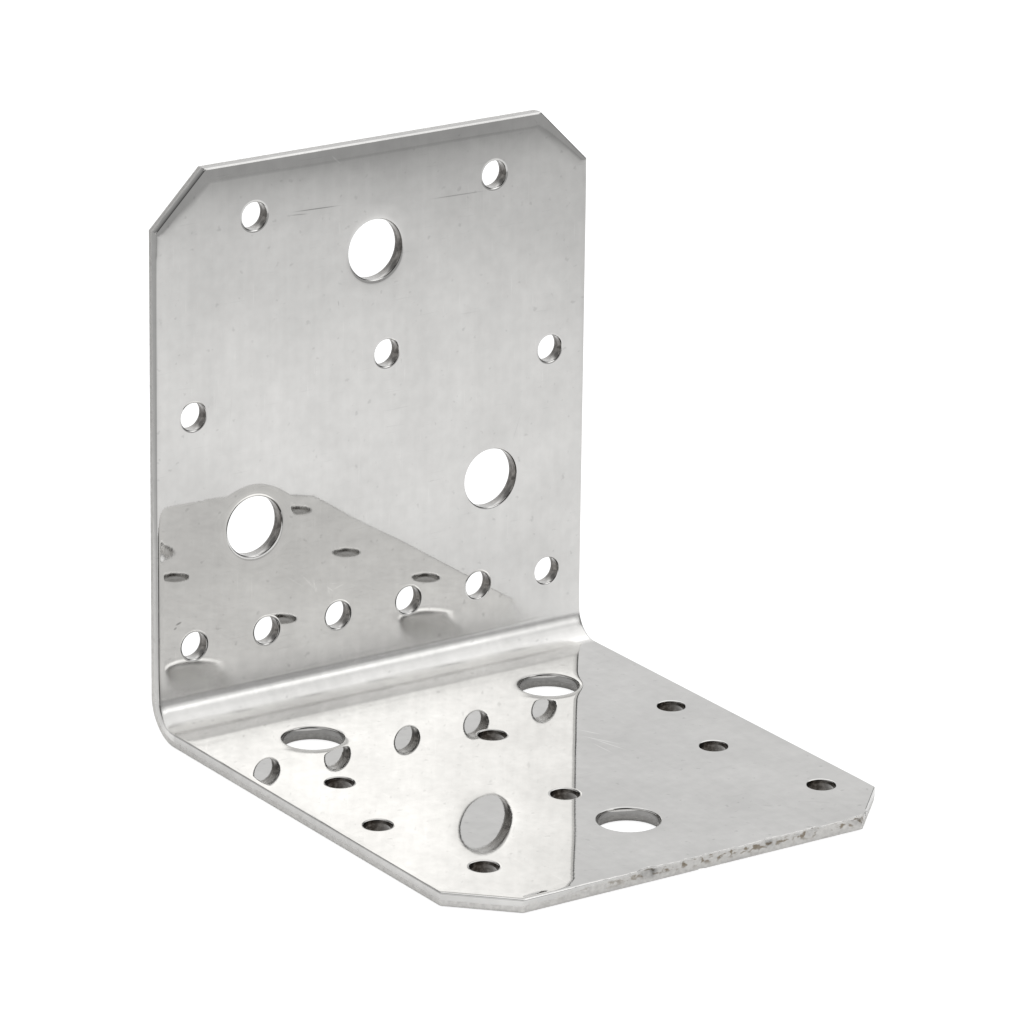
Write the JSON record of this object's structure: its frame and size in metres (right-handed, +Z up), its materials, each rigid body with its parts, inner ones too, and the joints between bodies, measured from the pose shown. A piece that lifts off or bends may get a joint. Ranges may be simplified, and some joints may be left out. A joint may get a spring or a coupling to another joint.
{
  "type": "angle bracket",
  "caption": "Equal-leg angle bracket folded from stainless steel sheet, punched with nail and bolt holes, for joining timbers at a right angle.",
  "frame": {"origin": "the heel: middle of the line where the planes of the two outer faces meet, at mid-width", "axes": "+X along the fold, +Y out of the upright leg's outer face, +Z up along the upright leg; the foot leg lies towards -Y with its outer face down at z = 0"},
  "size_m": [0.09, 0.103, 0.103],
  "materials": {
    "stainless_sheet": "bright cold-rolled stainless steel sheet, bare, with sheared edges"
  },
  "bodies": {
    "root": {"bracket": "stainless_sheet"}
  },
  "joints": []
}
